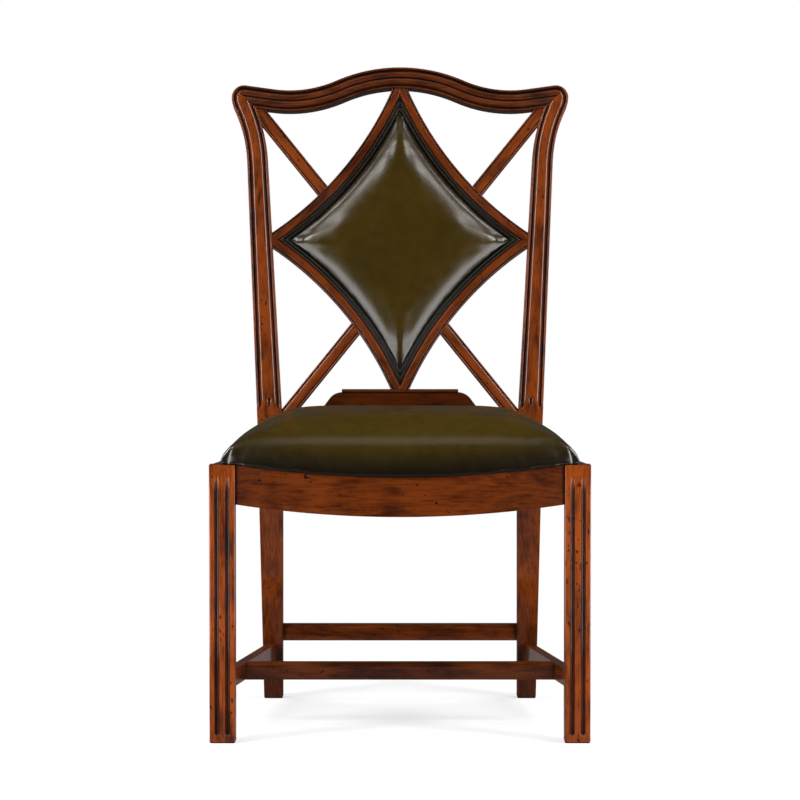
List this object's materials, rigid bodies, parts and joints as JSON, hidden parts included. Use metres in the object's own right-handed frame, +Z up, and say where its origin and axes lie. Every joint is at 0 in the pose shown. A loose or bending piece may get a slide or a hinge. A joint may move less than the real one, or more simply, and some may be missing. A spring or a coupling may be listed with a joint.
{
  "type": "dining side chair",
  "caption": "Wooden dining side chair with a serpentine reeded crest, an upholstered diamond in the back held by diagonal braces, a padded bow-front seat and fluted square front legs.",
  "frame": {"origin": "on the floor, under the centre of the chair's bounding box", "axes": "+Z up, the chair faces -Y, +X on the right of someone looking at its front"},
  "size_m": [0.559, 0.5774, 1.0183],
  "materials": {
    "show_wood": "stained and satin lacquered, dark glaze in the grooves",
    "frame_wood": "bare",
    "seat_leather": "semi-gloss, fine grain",
    "back_leather": "semi-gloss, fine grain",
    "welt_leather": "semi-gloss",
    "foam": "open-cell, hidden by the cover"
  },
  "bodies": {
    "root": {"front_leg_left": "show_wood", "front_leg_right": "show_wood", "rear_post_left": "show_wood", "rear_post_right": "show_wood", "side_seat_rail_left": "show_wood", "side_seat_rail_right": "show_wood", "side_stretcher_left": "show_wood", "side_stretcher_right": "show_wood", "diamond_bar_upper_left": "show_wood", "diamond_bar_upper_right": "show_wood", "diamond_bar_lower_left": "show_wood", "diamond_bar_lower_right": "show_wood", "brace_upper_left": "show_wood", "brace_upper_right": "show_wood", "brace_lower_left": "show_wood", "brace_lower_right": "show_wood", "corner_block_front_left": "frame_wood", "corner_block_front_right": "frame_wood", "corner_block_rear_left": "frame_wood", "corner_block_rear_right": "frame_wood", "crest_rail": "show_wood", "front_seat_rail": "show_wood", "rear_seat_rail": "show_wood", "medial_stretcher": "show_wood", "rear_stretcher": "show_wood", "back_shoe": "show_wood", "shoe_cap": "show_wood", "diamond_panel": "frame_wood", "diamond_pad": "back_leather", "outside_back": "back_leather", "diamond_welt": "welt_leather", "outside_back_gimp": "welt_leather", "back_pegs": "frame_wood", "seat_board": "frame_wood", "seat_foam": "foam", "seat_cover": "seat_leather"}
  },
  "joints": []
}
